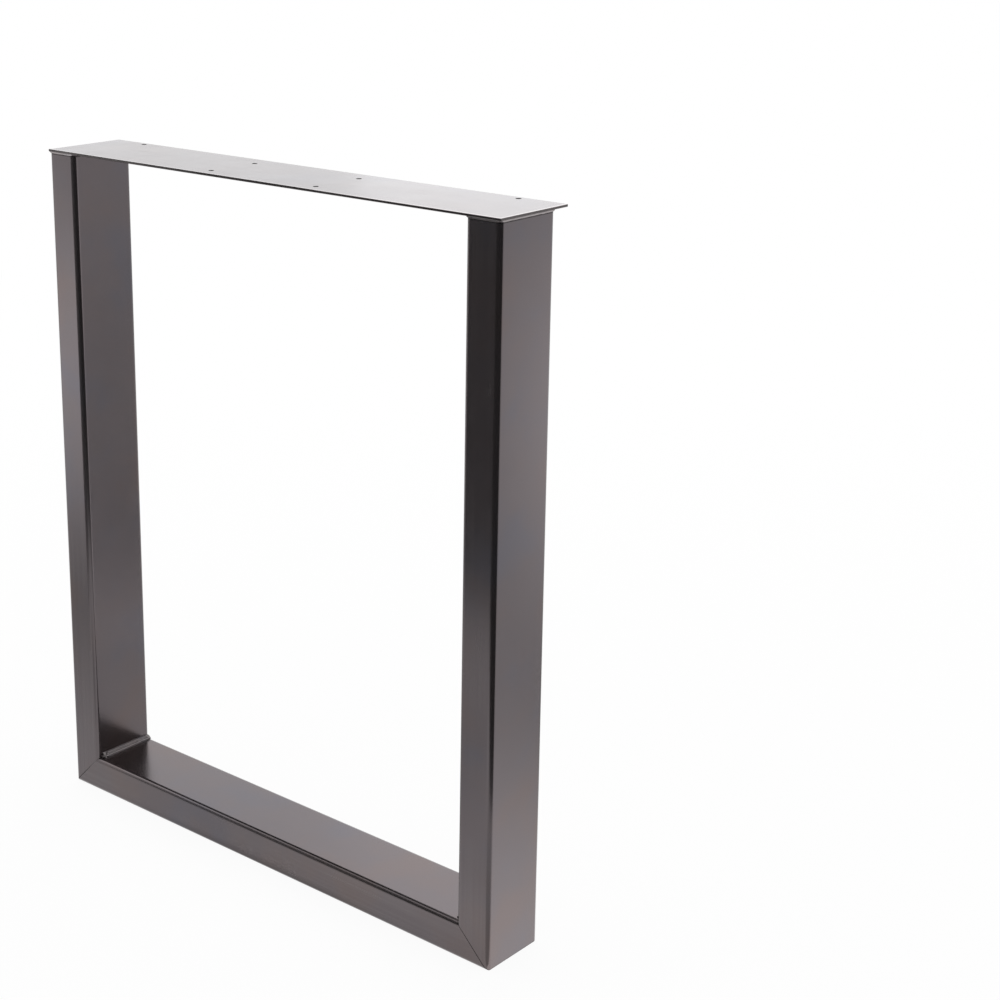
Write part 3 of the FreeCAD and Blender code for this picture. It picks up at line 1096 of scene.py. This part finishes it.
def card_material(name, added, kept):
    """Adds light in the middle of a card, and lets only a share of what is behind it through."""
    material, tree, surface = start_material(name)
    middle = add_node(tree, "ShaderNodeAttribute", attribute_name="middle").outputs["Fac"]
    middle = smooth_step(tree, middle, 0.0, 1.0)
    filter_color = blend_color(tree, middle, WHITE, grey(kept))
    clear = add_node(tree, "ShaderNodeBsdfTransparent", {"Color": filter_color})
    light = add_node(tree, "ShaderNodeEmission", {"Strength": calculate(tree, "MULTIPLY", middle, added)})
    both = add_node(tree, "ShaderNodeAddShader", {0: clear.outputs[0], 1: light.outputs[0]})
    tree.links.new(both.outputs[0], surface)
    return material


CARD_RINGS = 12
CARD_SPOKES = 48


def card(name, middle, half_length, half_width, added=0.0, kept=1.0, sector=(0, 360)):
    """A disc, or a sector of one, that spans two half axes from its middle."""
    points = [Vector(middle)]
    closeness = [1.0]
    for ring in range(1, CARD_RINGS + 1):
        share = ring / CARD_RINGS
        for spoke in range(CARD_SPOKES + 1):
            turn = math.radians(sector[0] + (sector[1] - sector[0]) * spoke / CARD_SPOKES)
            offset = Vector(half_length) * math.cos(turn) + Vector(half_width) * math.sin(turn)
            points.append(Vector(middle) + offset * share)
            closeness.append(1.0 - share)
    row = CARD_SPOKES + 1
    faces = [(0, spoke, spoke + 1) for spoke in range(1, row)]
    for ring in range(CARD_RINGS - 1):
        for spoke in range(1, row):
            first = ring * row + spoke
            faces.append((first, first + row, first + row + 1, first + 1))
    piece = show_to_reflections(name, points, faces, card_material(name, added, kept))
    attribute = piece.data.attributes.new("middle", "FLOAT", "POINT")
    attribute.data.foreach_set("value", closeness)
    print(name, "adds", added, "and keeps", kept)


card("left_front_card", (-2.05, -1.46, 0.004), (-1.45, -1.17, 0.0), (0.55, -0.68, 0.0), added=1.0)
card("left_foot_card", (-0.74, -0.44, 0.006), (-0.45, -0.37, 0.0), (0.20, -0.24, 0.0), kept=0.58)
card("left_round_card", (-0.13, -0.34, 0.006), (0.30, 0.0, 0.0), (0.0, 0.26, 0.0), kept=0.60)
card("rail_front_card", (0.16, -0.10, 0.004), (0.28, 0.0, 0.0), (0.0, 0.08, 0.0), added=0.14)
card("rail_foot_card", (0.0, -0.036, 0.003), (0.30, 0.0, 0.0), (0.0, 0.015, 0.0), kept=0.60)
card("rail_line_card", (-1.55, -0.64, 1.35), (0.0, 0.42, 0.0), (0.35, 0.0, 0.35), added=1.2)
RIGHT_CORNER = (0.297, -0.04, 0.001)
card("right_foot_card", RIGHT_CORNER, (0.66, 0.0, 0.0), (0.0, 0.66, 0.0), added=0.74, sector=(28, 130))
card("right_toe_card", RIGHT_CORNER, (0.50, 0.0, 0.0), (0.0, 0.50, 0.0), kept=0.62, sector=(-85, 10))
card("inner_floor_card", (0.38, 0.52, 0.008), (0.56, 0.60, 0.0), (-0.16, 0.15, 0.0), kept=0.58)
card("inner_side_card", (0.13, 0.32, 0.35), (0.12, -0.14, 0.0), (0.0, 0.0, 0.34), kept=0.74)
card("right_side_card", (0.423, 0.281, 0.45), (0.103, -0.079, 0.0), (0.0, 0.0, 0.34), added=0.75)
card("corner_patch_card", (1.38, 1.26, 0.95), (0.35, -0.42, 0.0), (0.0, 0.0, 0.52), kept=0.30)


# %% [markdown]
# The dark upper half of the right upright, and the black lines along the rounds, mirror the dark
# side of the studio, where the camera stands. A curved cloth in four widths stands for it: pale
# grey at the left, two darker greys in front of the leg, then nearly black and closer to the leg
# on the right. A black cloth also hangs high on the left, for the black line along the rail.

# %% The dark cloths
def cloth_material(name, brightness):
    """Dull cloth of one brightness."""
    material = bpy.data.materials.new(name)
    material.use_nodes = True
    cloth = material.node_tree.nodes["Principled BSDF"]
    cloth.inputs["Base Color"].default_value = grey(brightness)
    cloth.inputs["Roughness"].default_value = 1.0
    cloth.inputs["Specular IOR Level"].default_value = 0.0
    return material


CLOTH_TOP = 0.95
CLOTH_RADIUS = 0.80
CLOTH_STEP_IN = 0.18
STEP_IN_FROM = 285
STEP_IN_DEGREES = 40
DEGREES_PER_FOLD = 3


def hang_cloth(name, from_degrees, to_degrees, material):
    """An upright cloth round the camera's side of the leg, nearer to the leg on the right."""
    points = []
    faces = []
    for degrees in range(from_degrees, to_degrees + 1, DEGREES_PER_FOLD):
        nearness = min(1.0, max(0.0, (degrees - STEP_IN_FROM) / STEP_IN_DEGREES))
        radius = CLOTH_RADIUS - CLOTH_STEP_IN * nearness
        x = radius * math.cos(math.radians(degrees))
        y = radius * math.sin(math.radians(degrees))
        points += [(x, y, 0.0), (x, y, CLOTH_TOP)]
    for first in range(0, len(points) - 2, 2):
        faces.append((first, first + 2, first + 3, first + 1))
    show_to_reflections(name, points, faces, material)
    print(name, "spans", to_degrees - from_degrees, "degrees")


hang_cloth("pale_front_cloth", 216, 228, cloth_material("pale_cloth", 0.36))
hang_cloth("grey_front_cloth", 228, 243, cloth_material("grey_cloth", 0.25))
hang_cloth("dark_front_cloth", 243, 276, cloth_material("dark_cloth", 0.14))
hang_cloth("black_right_cloth", 276, 372, cloth_material("black_cloth", 0.075))
high_points = [(-2.10, -0.20, 1.3), (-0.48, -0.20, 1.3), (-0.66, 1.00, 1.3), (-1.75, 1.00, 1.3)]
show_to_reflections("high_cloth", high_points, [(0, 1, 2, 3)], cloth_material("high_cloth", 0.03))


# %% [markdown]
# ## Finish
#
# Last come the colour settings. The plain Standard view shows each colour as it was written. The
# box of the finished leg is printed beside the CAD model's box.

# %% View settings, sizes and the two boxes
bpy.context.scene.view_settings.view_transform = "Standard"
final_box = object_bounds()
sizes = {
    "cad": [list(corner) for corner in cad_box],
    "visual": [list(corner) for corner in final_box],
}
print("CAD box", [round(side, 4) for side in cad_box[1] - cad_box[0]])
print("finished box", [round(side, 4) for side in final_box[1] - final_box[0]])
